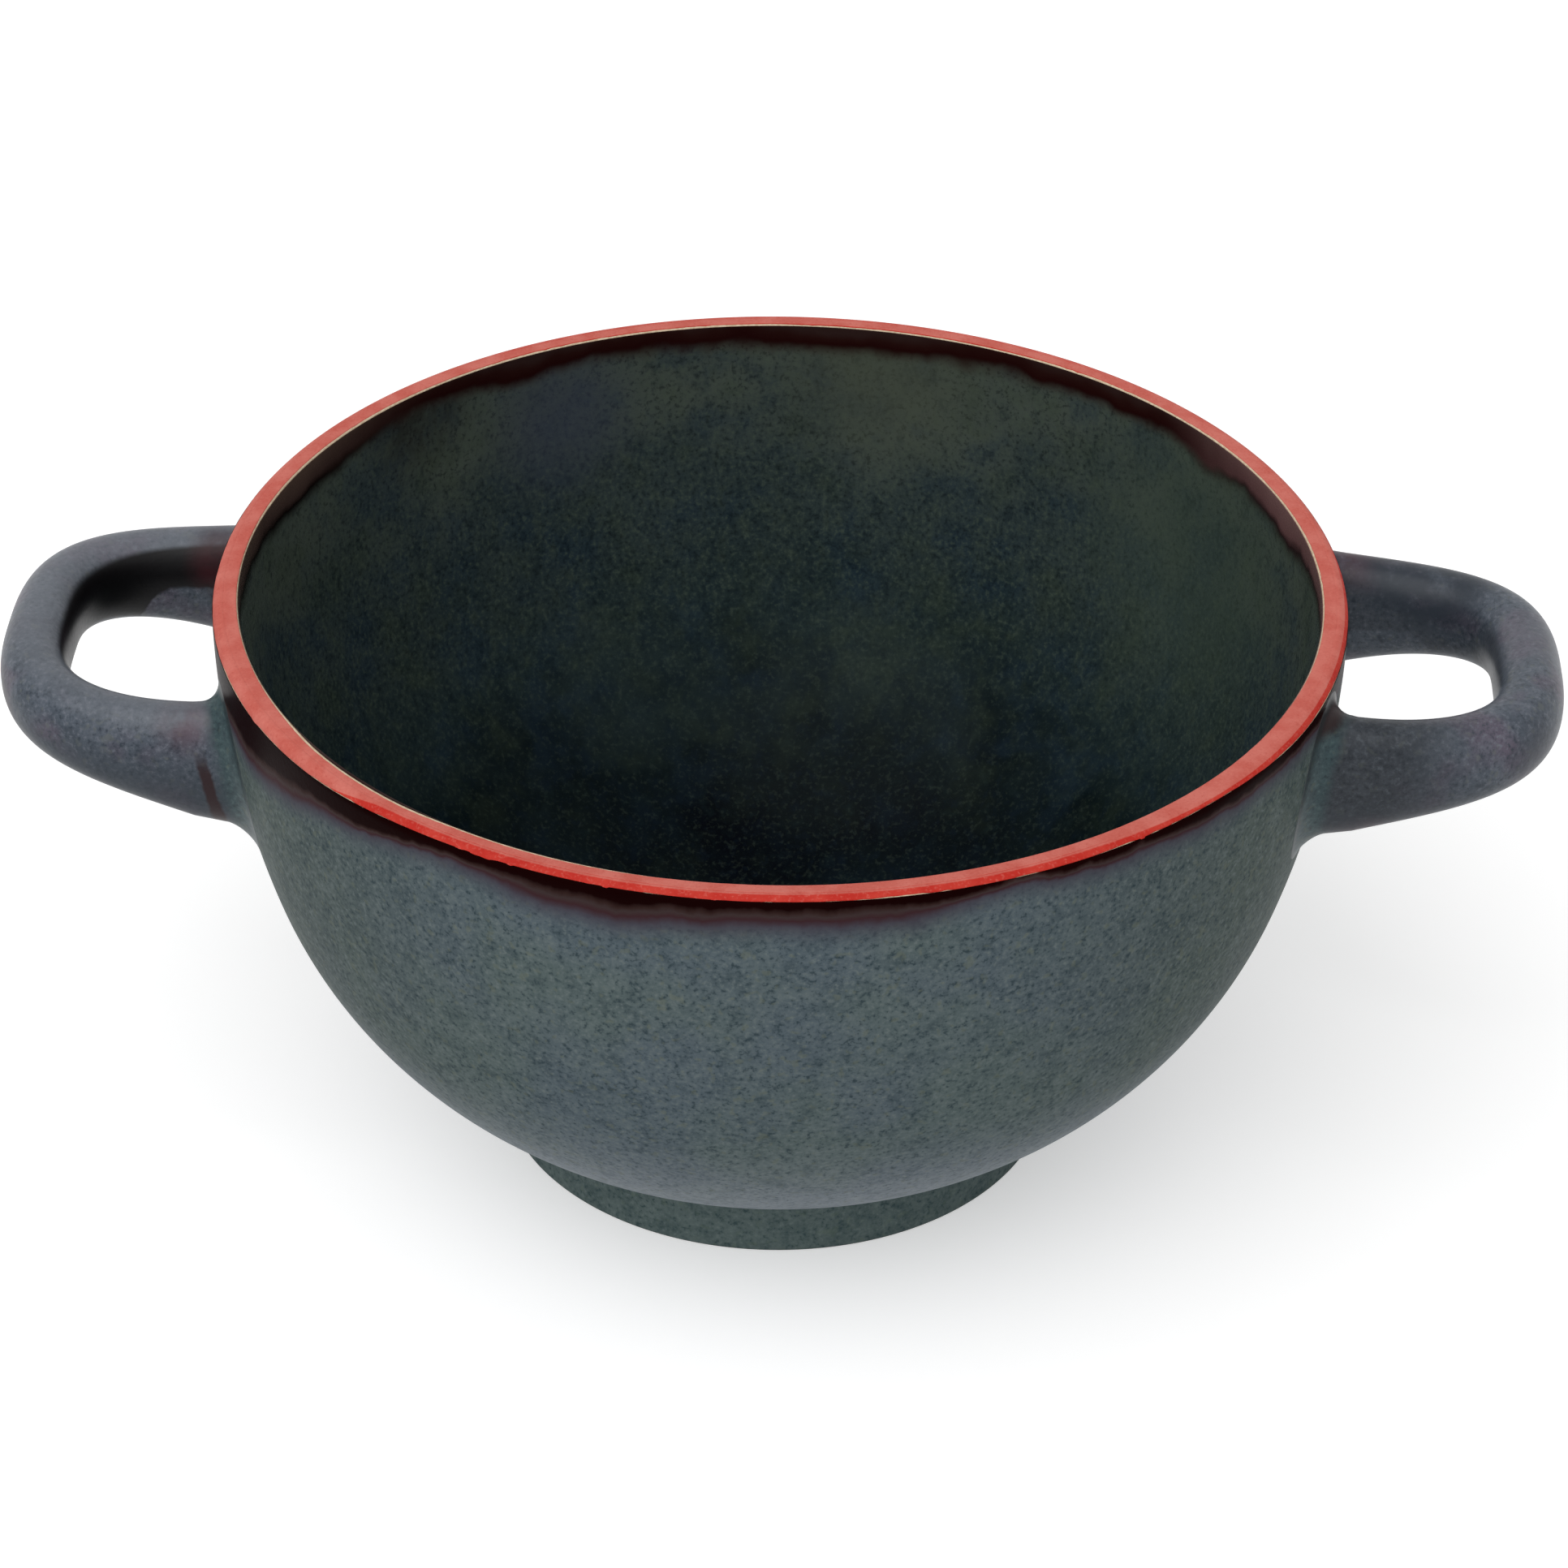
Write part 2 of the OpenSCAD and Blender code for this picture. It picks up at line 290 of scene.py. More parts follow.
def new_piece(name, grids, node, material, sharp=SHARP_DEGREES):
    """An object from closed grids, which stands for a CAD node."""
    mesh = grid_mesh(name, grids, sharp)
    mesh.materials.append(material)
    piece = bpy.data.objects.new(name, mesh)
    bpy.context.scene.collection.objects.link(piece)
    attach(piece, "root")
    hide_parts(node)


def full_turn(count):
    """Evenly spread angles of a full turn."""
    return np.arange(count) * 2 * math.pi / count


def turned(angle, r, z):
    """A closed grid from radii and heights at each angle round Z."""
    return np.stack([np.cos(angle)[:, None] * r, np.sin(angle)[:, None] * r, z], -1), True, True


def revolved(loop):
    """A grid from a closed loop of radius and height, turned round Z."""
    r, z = (np.tile(column, (TURNS, 1)) for column in loop.T)
    return turned(full_turn(TURNS), r, z)


def outline_at(along):
    """Radius, height and inward direction of the outline at distances along it."""
    return [np.interp(along, ALONG, column) for column in (*OUTLINE.T, *inward(OUTLINE).T)]


def coat(angle, along, sink=0, under_step=1):
    """A grid of a thin coat, from distances along the outline at each angle. Its face is sunk by a depth,
    and its underside takes only every so many of its points."""
    r, z, in_r, in_z = outline_at(along)
    under_r = np.maximum(r + in_r * COAT_T, 0)[:, ::-under_step]
    under_z = (z + in_z * COAT_T)[:, ::-under_step]
    r = np.concatenate([r + in_r * sink, under_r], axis=1)
    z = np.concatenate([z + in_z * sink, under_z], axis=1)
    return turned(angle, r, z)


def spread(start, end, count):
    """Distances spread evenly from a start to an end, which both change round the rim."""
    return start[:, None] + (end - start)[:, None] * np.linspace(0, 1, count)


def ripple(angle, waves, seed):
    """A wavy line round the rim."""
    phases = np.random.default_rng(seed).uniform(0, 2 * math.pi, len(waves))
    return sum(height * np.sin(count * angle + phase) for (count, height), phase in zip(waves, phases))


def ragged(angle, chips, seed):
    """Small chips along an edge: a smooth random line with some deeper nicks."""
    step, depth = chips
    draws = np.random.default_rng(seed)
    count = int(round(2 * math.pi / step))
    knots = draws.normal(0, 1, count)
    nicks = np.where(draws.uniform(size=count) < NICK_CHANCE, draws.uniform(*NICK_SHARES, count), 0)
    line = KNOT_SHARE * knots + nicks
    at = angle / (2 * math.pi) * count
    low = np.floor(at).astype(int) % count
    share = at - np.floor(at)
    share = share * share * (3 - 2 * share)
    return depth * (line[low] * (1 - share) + line[(low + 1) % count] * share)


def swollen(angle, swells):
    """How far an edge strays from its level at swells round the rim."""
    total = 0
    for height, centre, width in swells:
        turn = 2 * np.arcsin(np.sin((angle - math.radians(centre)) / 2))
        total = total + height * np.exp(-(turn / math.radians(width)) ** 4)
    return total


def make_inner_glaze(material):
    """The lining, whose upper edge follows the inner edge of the band."""
    angle = full_turn(TURNS)
    end = BAND_START - INNER_GAP + swollen(angle, INNER_SWELLS)
    fixed = distances_between(0, BAND_START - INNER_STRETCH)
    edge = spread(np.full(TURNS, fixed[-1]), end, INNER_EDGE_POINTS)[:, 1:]
    along = np.concatenate([np.tile(fixed, (TURNS, 1)), edge], axis=1)
    new_piece("inner_glaze_coat", [coat(angle, along)], "inner_glaze", material)


def underside_skin():
    """The coat inside the foot: up its inner side, round the fillet and over the flat underside."""
    corner = (FOOT_BORE_R - BORE_FILLET_R, UNDER_Z - BORE_FILLET_R)
    side = np.linspace((FOOT_BORE_R, FOOT_EDGE_R), (FOOT_BORE_R, corner[1]), BORE_POINTS)[:-1]
    flat = np.linspace((corner[0], UNDER_Z), (0, UNDER_Z), SMALL_POINTS)[1:]
    return revolved(skin_loop(np.vstack([side, arc(corner, BORE_FILLET_R, 0, 90, SMALL_POINTS), flat])))


def make_outer_glaze(material):
    """The coat on the outside, whose upper edge follows the outer edge of the band."""
    angle = full_turn(TURNS)
    start = BAND_END + OUTER_GAP + swollen(angle, OUTER_SWELLS)
    fixed = distances_between(BAND_END + OUTER_STRETCH, ALONG[-1])
    edge = spread(start, np.full(TURNS, fixed[0]), OUTER_EDGE_POINTS)[:, :-1]
    along = np.concatenate([edge, np.tile(fixed, (TURNS, 1))], axis=1)
    grids = [coat(angle, along), underside_skin()]
    new_piece("outer_glaze_coat", grids, "outer_glaze", material)


def make_rim_band(material):
    """The matte band over the lip: its two edges are ragged, as brushed slip is, and its face is sunk
    at both edges and in a crease where the lip's top turns down."""
    angle = full_turn(BAND_TURNS)
    start = BAND_START + ripple(angle, INNER_WAVES, seed=3)
    start += swollen(angle, INNER_SWELLS) - ragged(angle, INNER_CHIPS, seed=4)
    end = BAND_END + ripple(angle, OUTER_WAVES, seed=5)
    end += swollen(angle, OUTER_SWELLS) + ragged(angle, OUTER_CHIPS, seed=6)
    along = spread(start, end, BAND_POINTS)
    r, z = outline_at(along)[:2]
    edge = np.minimum(along - start[:, None], end[:, None] - along)
    sink = BAND_SINK * np.clip(1 - edge / BAND_SINK_W, 0, 1) ** 2
    crease = np.exp(-((r - (RIM_R - LIP_OUT_R)) / CREASE_W) ** 2) * (z > RIM_Z - CREASE_DROP)
    grid = coat(angle, along, sink + CREASE_DEPTH * crease, BAND_UNDER_STEP)
    new_piece("rim_band_slip", [grid], "rim_band", material)


def make_bowl_body(material):
    """The clay shell under the coats, which shows as a thin line at each edge of the rim band."""
    outline = OUTLINE[OUTLINE[:, 1] > UNDER_Z + WALL_T]
    outline = np.vstack([[0, FLOOR_Z], outline[outline[:, 0] > AXIS_GAP]])
    shell = outline + inward(outline) * CLAY_DEPTH
    shell[0] = (0, FLOOR_Z - CLAY_DEPTH)
    base = np.array([[FOOT_BORE_R, UNDER_Z + CLAY_DEPTH], [0, UNDER_Z + CLAY_DEPTH]])
    new_piece("bowl_body_clay", [revolved(np.vstack([shell, base]))], "bowl_body", material)


def make_foot_ring(material):
    """The clay of the foot, bare on its sole and round its lower edges."""
    in_r, out_r = FOOT_BORE_R + CLAY_DEPTH, FOOT_R - CLAY_DEPTH
    top_z = UNDER_Z + WALL_T
    loop = np.vstack([
        [[in_r, top_z]],
        arc((in_r + FOOT_EDGE_R, FOOT_EDGE_R), FOOT_EDGE_R, 180, 270, FOOT_EDGE_POINTS),
        arc((out_r - FOOT_EDGE_R, FOOT_EDGE_R), FOOT_EDGE_R, 270, 360, FOOT_EDGE_POINTS),
        [[out_r, top_z]],
    ])
    new_piece("foot_ring_clay", [revolved(loop)], "foot_ring", material)


# Handles

def bent(value, power):
    """A power that keeps the value's sign."""
    return np.sign(value) * np.abs(value) ** power


def arm_y(along):
    """How far the loop's middle line is from its axis at a distance along it."""
    return LUG_W / 2 * (1 - (along / LOOP_LEN) ** LOOP_POWER) ** (1 / LOOP_POWER)


def bar_size(along):
    """Half the bar's thickness and half its height at a distance along the loop."""
    share = (1 - along / LOOP_LEN) ** 2
    return (GRIP_T + (ROOT_T - GRIP_T) * share) / 2, (GRIP_H + (ROOT_H - GRIP_H) * share) / 2


def bar_z(along, seat):
    """Height of the bar's middle at a distance along the loop, on the loop's axis."""
    return seat[0] + (seat[1] - seat[0]) * along / LOOP_LEN


def oval():
    """A unit oval, squarer than a circle, and its outward directions."""
    turn = full_turn(BAR_SIDES)
    c, s = np.cos(turn), np.sin(turn)
    place, out = 2 / BAR_POWER, 2 - 2 / BAR_POWER
    return bent(c, place), bent(s, place), bent(c, out), bent(s, out)


def bar_ring(angle, seat):
    """A ring of the bar where its middle line is at an angle from the loop's axis, seen from its root."""
    cosine, sine = math.cos(angle), math.sin(angle)
    powers = abs(cosine / LOOP_LEN) ** LOOP_POWER + abs(sine / (LUG_W / 2)) ** LOOP_POWER
    radius = powers ** (-1 / LOOP_POWER)
    along, side = radius * cosine, radius * sine
    out = np.array([(along / LOOP_LEN) ** (LOOP_POWER - 1) / LOOP_LEN,
                    bent(side / (LUG_W / 2), LOOP_POWER - 1) / (LUG_W / 2)])
    out /= np.linalg.norm(out)
    half_t, half_h = bar_size(along)
    off, up = oval()[:2]
    x = LOOP_X + along + half_t * off * out[0]
    y = side + half_t * off * out[1]
    return np.column_stack([x, y, bar_z(along, seat) + half_h * up + y * seat[2]])


def wall_x(y, z):
    """X of the outer wall at a place across and a height."""
    return np.sqrt(wall_r(z) ** 2 - y * y)


def fillet_ring(arm, angle, seat, sunk=0.0):
    """A ring of the slip fillet at the back arm (+1) or the front arm (-1), at an angle in radians that is
    zero where the fillet leaves the arm and a right angle where it meets the wall."""
    stand_off = FILLET_R * (1 - math.sin(angle))
    flare = FILLET_R * (1 - math.cos(angle))
    along = float(wall_x(LUG_W / 2, seat[0])) + stand_off - LOOP_X
    half_t, half_h = bar_size(along)
    off, up, out_y, out_z = oval()
    out_y, out_z = out_y / half_t, out_z / half_h
    size = np.hypot(out_y, out_z)
    y = arm * (arm_y(along) + half_t * off + flare * out_y / size)
    z = bar_z(along, seat) + half_h * up + flare * out_z / size + y * seat[2]
    return np.column_stack([wall_x(y, z) + stand_off - sunk, y, z])


def fillet_rings(arm, seat):
    """The rings of a fillet, from where it leaves the arm to its end, which is sunk in the wall."""
    turns = np.radians(np.linspace(0, FILLET_DEGREES, FILLET_RINGS))
    rings = [fillet_ring(arm, turn, seat) for turn in turns]
    return rings + [fillet_ring(arm, math.pi / 2, seat, FILLET_SINK)]


def loop_rings(seat):
    """The whole loop, from the front arm's sunk end round the grip to the back arm's."""
    end = math.sqrt(RIM_R ** 2 - ((LUG_W - ROOT_T) / 2) ** 2) + FILLET_R - LOOP_X
    end_angle = math.atan2(arm_y(end), end)
    bars = [bar_ring(angle, seat) for angle in np.linspace(-end_angle, end_angle, BAR_RINGS)]
    return np.array(fillet_rings(-1, seat)[::-1] + bars + fillet_rings(1, seat))


def capped(rings):
    """The rings with each end drawn to its middle."""
    first = np.broadcast_to(rings[0].mean(axis=0), rings[0].shape)
    last = np.broadcast_to(rings[-1].mean(axis=0), rings[-1].shape)
    return np.concatenate([[first], rings, [last]])


def make_handle(name, node, seat, side, material):
    """The handle on the right (+1) or left (-1), with the slip fillets at its two arms."""
    rings = capped(loop_rings(seat))
    rings[..., 0] *= side
    new_piece(name, [(rings, False, True)], node, material, BAR_SHARP_DEGREES)


# Materials. Their places, distances and sizes of noise are in millimetres. Noise runs from 0 to 1, mostly
# near 0.5.

# Sockets of a mix node for colours
MIX_FACTOR, MIX_A, MIX_B, MIX_OUT = 0, 6, 7, 2

# How far a noise's shift goes along each axis
SHIFT_SHARES = (1, 0.7, 1.3)


def srgb(red, green, blue):
    """A linear colour from 0 to 255 screen values."""
    def linear(value):
        value /= 255
        return value / 12.92 if value <= 0.04045 else ((value + 0.055) / 1.055) ** 2.4
    return linear(red), linear(green), linear(blue), 1.0


class Graph:
    """The nodes of one material, with the object's place in millimetres."""

    def __init__(self, name):
        self.material = bpy.data.materials.new(name)
        self.material.use_nodes = True
        self.nodes = self.material.node_tree.nodes
        self.links = self.material.node_tree.links
        self.shader = self.nodes["Principled BSDF"]
        place = self.nodes.new("ShaderNodeTexCoord").outputs["Object"]
        self.place = self.vector("SCALE", place, scale=1 / MM)
        split = self.nodes.new("ShaderNodeSeparateXYZ")
        self.links.new(self.place, split.inputs[0])
        self.x, self.y, self.z = split.outputs

    def put(self, value, socket):
        """A value, or another node's output, into a socket."""
        if isinstance(value, bpy.types.NodeSocket):
            self.links.new(value, socket)
        else:
            socket.default_value = value

    def vector(self, operation, a, b=(0, 0, 0), scale=1.0):
        """A vector operation, whose result is a number for a length."""
        node = self.nodes.new("ShaderNodeVectorMath")
        node.operation = operation
        self.put(a, node.inputs[0])
        if operation == "SCALE":
            node.inputs["Scale"].default_value = scale
        else:
            self.put(b, node.inputs[1])
        return node.outputs["Value"] if operation == "LENGTH" else node.outputs["Vector"]

    def math(self, operation, a, b=0.0, c=0.0):
        """An operation on one to three numbers."""
        node = self.nodes.new("ShaderNodeMath")
        node.operation = operation
        for value, socket in zip((a, b, c), node.inputs):
            self.put(value, socket)
        return node.outputs[0]

    def add(self, total, *others):
        """The sum of all values."""
        for other in others:
            total = self.math("ADD", total, other)
        return total

    def times(self, product, *others):
        """The product of all values."""
        for other in others:
            product = self.math("MULTIPLY", product, other)
        return product

    def scaled(self, value, factor, offset):
        """The value times a factor, plus an offset."""
        return self.math("MULTIPLY_ADD", value, factor, offset)

    def sway(self, noise, reach):
        """A noise as a shift by up to a reach both ways."""
        return self.scaled(noise, 2 * reach, -reach)

    def noise(self, size, detail, rough, shift, stretch=(1, 1, 1)):
        """Noise whose features are about a size, longer along an axis with a stretch over 1."""
        node = self.nodes.new("ShaderNodeTexNoise")
        place = self.vector("MULTIPLY", self.place, tuple(1 / (size * share) for share in stretch))
        place = self.vector("ADD", place, tuple(shift * share for share in SHIFT_SHARES))
        for name, value in (("Vector", place), ("Scale", 1.0), ("Detail", detail), ("Roughness", rough)):
            self.put(value, node.inputs[name])
        return node.outputs["Fac"]

    def span(self, value, low, high, to_low=0.0, to_high=1.0):
        """A smooth change from one number to another, while a value goes from low to high."""
        node = self.nodes.new("ShaderNodeMapRange")
        node.interpolation_type = "SMOOTHSTEP"
        for name, given in (("Value", value), ("From Min", low), ("From Max", high),
                            ("To Min", to_low), ("To Max", to_high)):
            self.put(given, node.inputs[name])
        return node.outputs[0]

    def plateau(self, value, start, full, last, end):
        """1 while a value is between full and last, fading to 0 at a start below and an end above."""
        return self.times(self.span(value, start, full), self.span(value, end, last))

    def ball(self, centre, radius, fade, most=1.0):
        """A share of at most so much within a radius of a place, fading to 0 over a distance."""
        away = self.vector("LENGTH", self.vector("SUBTRACT", self.place, centre))
        return self.span(away, radius + fade, radius, 0, most)

    def mix(self, factor, a, b):
        """From colour a to colour b by a factor."""
        node = self.nodes.new("ShaderNodeMix")
        node.data_type = "RGBA"
        for value, socket in ((factor, MIX_FACTOR), (a, MIX_A), (b, MIX_B)):
            self.put(value, node.inputs[socket])
        return node.outputs[MIX_OUT]

    def tinted(self, colour, tint, most, value, low, high):
        """A colour with up to so much of a tint, while a value goes from low to high."""
        return self.mix(self.span(value, low, high, 0, most), colour, tint)

    def ramp(self, value, whole, shares):
        """Colours at shares of a whole."""
        node = self.nodes.new("ShaderNodeValToRGB")
        elements = node.color_ramp.elements
        while len(elements) < len(shares):
            elements.new(0.5)
        for element, (share, colour) in zip(elements, shares):
            element.position = share
            element.color = colour
        self.put(self.math("DIVIDE", value, whole), node.inputs[0])
        return node.outputs[0]

    def bump(self, height, depth):
        """A bump from a height, of a depth, set as the material's."""
        node = self.nodes.new("ShaderNodeBump")
        node.inputs["Strength"].default_value = 1.0
        node.inputs["Distance"].default_value = depth * MM
        self.put(height, node.inputs["Height"])
        self.put(node.outputs[0], self.shader.inputs["Normal"])

    def pits(self, shift, depth):
        """The noise of a glaze's fine pits, which is set as its bump too."""
        pits = self.noise(0.5, 3, 0.6, shift)
        self.bump(pits, depth)
        return pits

    def radius(self):
        """Distance from the bowl's axis."""
        return self.vector("LENGTH", self.vector("MULTIPLY", self.place, (1, 1, 0)))

    def depth(self):
        """Depth below the rim."""
        return self.math("SUBTRACT", RIM_Z / MM, self.z)

    def finish(self, colour, roughness, specular):
        """The material, with its colour and its reflections set."""
        self.put(colour, self.shader.inputs["Base Color"])
        self.put(roughness, self.shader.inputs["Roughness"])
        self.shader.inputs["Specular IOR Level"].default_value = specular
        return self.material


def mottled(graph, base, pale, dark, speck, shift, strength=1.0):
    """Soft clouds and fine flecks over a base colour."""
    clouds = graph.noise(2.6, 3, 0.6, shift=shift)
    colour = graph.tinted(base, pale, 0.3 * strength, clouds, 0.46, 0.74)
    colour = graph.tinted(colour, dark, 0.4 * strength, clouds, 0.52, 0.26)
    grain = graph.noise(0.62, 3, 0.65, shift=shift + 12)
    colour = graph.tinted(colour, pale, 0.75 * strength, grain, 0.5, 0.74)
    colour = graph.tinted(colour, dark, 0.85 * strength, grain, 0.5, 0.28)
    specks = graph.noise(1.1, 1, 0.5, shift=shift + 26)
    return graph.tinted(colour, speck, 0.4 * strength, specks, 0.6, 0.74)


# The outer glaze: where it turns greener, and darker as painted shade, at the sides; where it turns paler low
# on the belly, as painted light from the floor's reflection and bounce; and where it turns to the foot's
# colour
SIDE_GREEN_AND_SHADE_SPAN = (22, 58)
BELLY_PAINTED_LIGHT_SPAN = (38, 5)
FOOT_SPAN = (FOOT_R / MM + 1.5, FOOT_R / MM + 0.6)

# The dark ring under the band: its colours at shares of a depth, where it gives way to the wall's, and
# where the glaze turns from gloss to satin
RING_DEPTH = 10.0
RING_SHARES = (
    (0.0, srgb(16, 0, 0)), (0.2, srgb(20, 2, 2)), (0.26, srgb(50, 34, 32)), (0.31, srgb(62, 50, 50)),
    (0.37, srgb(60, 38, 42)), (0.47, srgb(68, 64, 74)), (0.7, srgb(76, 84, 92)))
RING_END_SPAN = (3.8, 8.0)
SATIN_SPAN = (2.0, 6.0)

# Where the ring gets narrower (more) or wider (less) along X: from and to a place, from and to an amount.
# And where it is narrower only between places: start, full, last and end.
# The step from -46 to -60 widens the dark ring beside the left handle's root, partly as painted shadow of the
# arm
RING_STEPS = ((-30, -42, 0.6, -1.1), (-46, -60, 0, -2.6), (44, 60, 0, -1.1), (-46, -36, 0, 0.9),
              (-30, -12, 0, -0.9), (0, 8, 0, -0.5), (16, 26, 0, 0.5))
RING_NARROW = (18, 30, 40, 48)
RING_NARROW_BY = 0.9

# Where along X the ring's maroon ends sooner, over which depths, and by how much
QUICK_LEFT = (-52, -42, -36, -20)
QUICK_RIGHT_SPAN = (14, 26)
QUICK_DEPTHS = (2.0, 3.4)
QUICK_BY = 1.5


def outer_wall(graph):
    """Mottled blue-grey, greener at both sides with painted shade there, paler low on the belly as painted
    light from the floor, and green-grey on the foot.
    """
    patches = graph.span(graph.noise(20, 2, 0.5, shift=3), 0.4, 0.62)
    base = graph.mix(patches, srgb(86, 98, 105), srgb(88, 101, 101))
    # Greener glaze at both sides, darkened there as painted shade
    base = graph.tinted(base, srgb(78, 88, 83), 0.8, graph.math("ABSOLUTE", graph.x), *SIDE_GREEN_AND_SHADE_SPAN)
    # Painted light: the lower belly is paler, as if lit by the floor's reflection and bounce
    low = graph.span(graph.z, *BELLY_PAINTED_LIGHT_SPAN)
    base = graph.mix(graph.times(low, 0.9), base, srgb(150, 157, 165))
    pale = graph.mix(low, srgb(110, 120, 120), srgb(160, 168, 172))
    dark = graph.mix(low, srgb(46, 60, 66), srgb(104, 116, 122))
    wall = mottled(graph, base, pale, dark, srgb(104, 110, 96), shift=11)
    foot = mottled(graph, srgb(94, 108, 107), srgb(114, 127, 126), srgb(56, 74, 77), srgb(100, 114, 102),
                   shift=61)
    return graph.mix(graph.span(graph.radius(), *FOOT_SPAN), wall, foot)


def ring_level(graph):
    """Depth below the rim, shifted by noise and along X to where the dark ring ends."""
    sag = graph.sway(graph.noise(22, 2, 0.5, shift=5), 2.2)
    fray = graph.sway(graph.noise(1.8, 3, 0.6, shift=9), 0.4)
    streaks = graph.sway(graph.noise(2.6, 2, 0.5, shift=13, stretch=(1, 1, 4)), 0.4)
    level = graph.math("SUBTRACT", graph.add(graph.depth(), fray, streaks), sag)
    for start, end, before, after in RING_STEPS:
        level = graph.add(level, graph.span(graph.x, start, end, before, after))
    level = graph.add(level, graph.times(graph.plateau(graph.x, *RING_NARROW), RING_NARROW_BY))
    quick = graph.add(graph.span(graph.x, *QUICK_RIGHT_SPAN), graph.plateau(graph.x, *QUICK_LEFT))
    return graph.add(level, graph.times(graph.span(level, *QUICK_DEPTHS, 0, QUICK_BY), quick))


def outer_glaze_material():
    """Dark glossy glaze under the rim band, which breaks through maroon to satin blue-grey lower down."""
    graph = Graph("blue_grey_glaze")
    level = ring_level(graph)
    ring = graph.ramp(level, RING_DEPTH, RING_SHARES)
    colour = graph.mix(graph.span(level, *RING_END_SPAN), ring, outer_wall(graph))
    pits = graph.pits(shift=41, depth=0.02)
    roughness = graph.add(graph.span(level, *SATIN_SPAN, 0.34, 0.42), graph.sway(pits, 0.06))
    return graph.finish(colour, roughness, specular=0.01)


# The handles: the bar's middle below the rim at the wall, and its rise along the loop, for both loops
BAR_DROP = 14.5
BAR_RISE = 3.4

# Spots on the handles: place, radius, fade, tint, and how much of it at most
HANDLE_SPOTS = (
    ((-90, -9, 57), 2.0, 5.0, srgb(30, 16, 24), 0.85),
    ((-88, -4, 60), 1.0, 6.0, srgb(74, 54, 70), 0.5),
    ((-68, 17, 62), 2.0, 3.5, srgb(56, 20, 26), 0.8),
    ((-67, -20, 62), 0.5, 4.0, srgb(84, 48, 58), 0.5),
    ((68, 19, 66), 1.5, 3.5, srgb(74, 40, 48), 0.7),
    ((68, -20, 53), 1.0, 4.5, srgb(58, 36, 48), 0.7),
    ((88, -15, 62), 1.0, 6.0, srgb(46, 48, 58), 0.6),
    # The next spot is painted shade on the top of the right handle's back arm
    ((76, 17, 67), 5.0, 6.0, srgb(44, 50, 58), 0.95),
    ((88, 2, 64), 3.0, 6.0, srgb(92, 96, 104), 0.5))

# The bar's painted light and shade: heights over its middle for painted light at the top and painted shade
# low down, and shares of the loop's length along which the right handle's front arm has painted shade
LIT_SPAN = (1.5, 5.0)
UNDER_SHADE_SPAN = (2.0, -5.5)
FRONT_ARM_SHADE_SHARES = (0.85, 0.35)

# The black inside the loop, partly dark glaze and partly painted shade: how far in from the bar's middle line
# it starts, how much further on the right, its fade, the heights it starts at, how much lower it reaches in
# the grip's corners and over which shares of the loop's length, and the shares over which it is weaker on the
# right
BLACK_START = 1.8
BLACK_START_RIGHT = 0.3
BLACK_FADE = 0.5
BLACK_HEIGHTS = (-0.1, 0.5)
CORNER_REACH = 14.0
CORNER_SHARES = (0.5, 0.92)
WEAKER_SHARES = (0.94, 0.8)

# Gaps to the wall over which the teal pool, the dark root and the crease's painted shade fade in, and the
# root's depths
POOL_SPAN = (3.0, 1.4)
ROOT_SPAN = (3.0, 1.0)
ROOT_DEPTHS = (6.0, 4.2)
CREASE_SHADE_SPAN = (0.45, 0.1)

# The streak down the left handle's front arm: its gaps to the wall, its heights and its slant
STREAK_GAPS = (0.1, 0.5, 1.4, 1.9)
STREAK_HEIGHTS = (44, 47, 57, 61)
STREAK_SLANT = -0.05


class LoopGraph(Graph):
    """The nodes of the handles' material, with places on the loops."""

    def __init__(self, name):
        super().__init__(name)
        self.left = self.math("LESS_THAN", self.x, 0.0)
        self.right = self.math("SUBTRACT", 1.0, self.left)
        self.front = self.span(self.y, 1, -1)
        self.wander = self.sway(self.noise(3.0, 3, 0.6, shift=55), 1.5)
        self.gap = self.gap_from_wall()
        self.frayed_gap = self.scaled(self.wander, 0.3, self.gap)
        along = self.math("SUBTRACT", self.math("ABSOLUTE", self.x), LOOP_X / MM)
        self.share = self.math("DIVIDE", along, LOOP_LEN / MM)
        self.inside = self.distance_inside()
        self.rise = self.math("SUBTRACT", self.z, self.scaled(self.share, BAR_RISE, RIM_Z / MM - BAR_DROP))

    def gap_from_wall(self):
        """Distance outside the wall at the same height, roughly."""
        depth = self.depth()
        drawn = self.times(depth, depth, DRAW_IN / UPPER_H ** 2 * MM)
        return self.math("SUBTRACT", self.radius(), self.math("SUBTRACT", RIM_R / MM, drawn))

    def distance_inside(self):
        """Distance from the bar's middle line towards the finger gap, roughly."""
        across = self.math("DIVIDE", self.math("ABSOLUTE", self.y), LUG_W / MM / 2)
        powers = [self.math("POWER", value, LOOP_POWER) for value in (self.share, across)]
        reach = self.math("POWER", self.add(*powers), 1 / LOOP_POWER)
        return self.times(self.math("SUBTRACT", 1.0, reach), LUG_W / MM / 2)


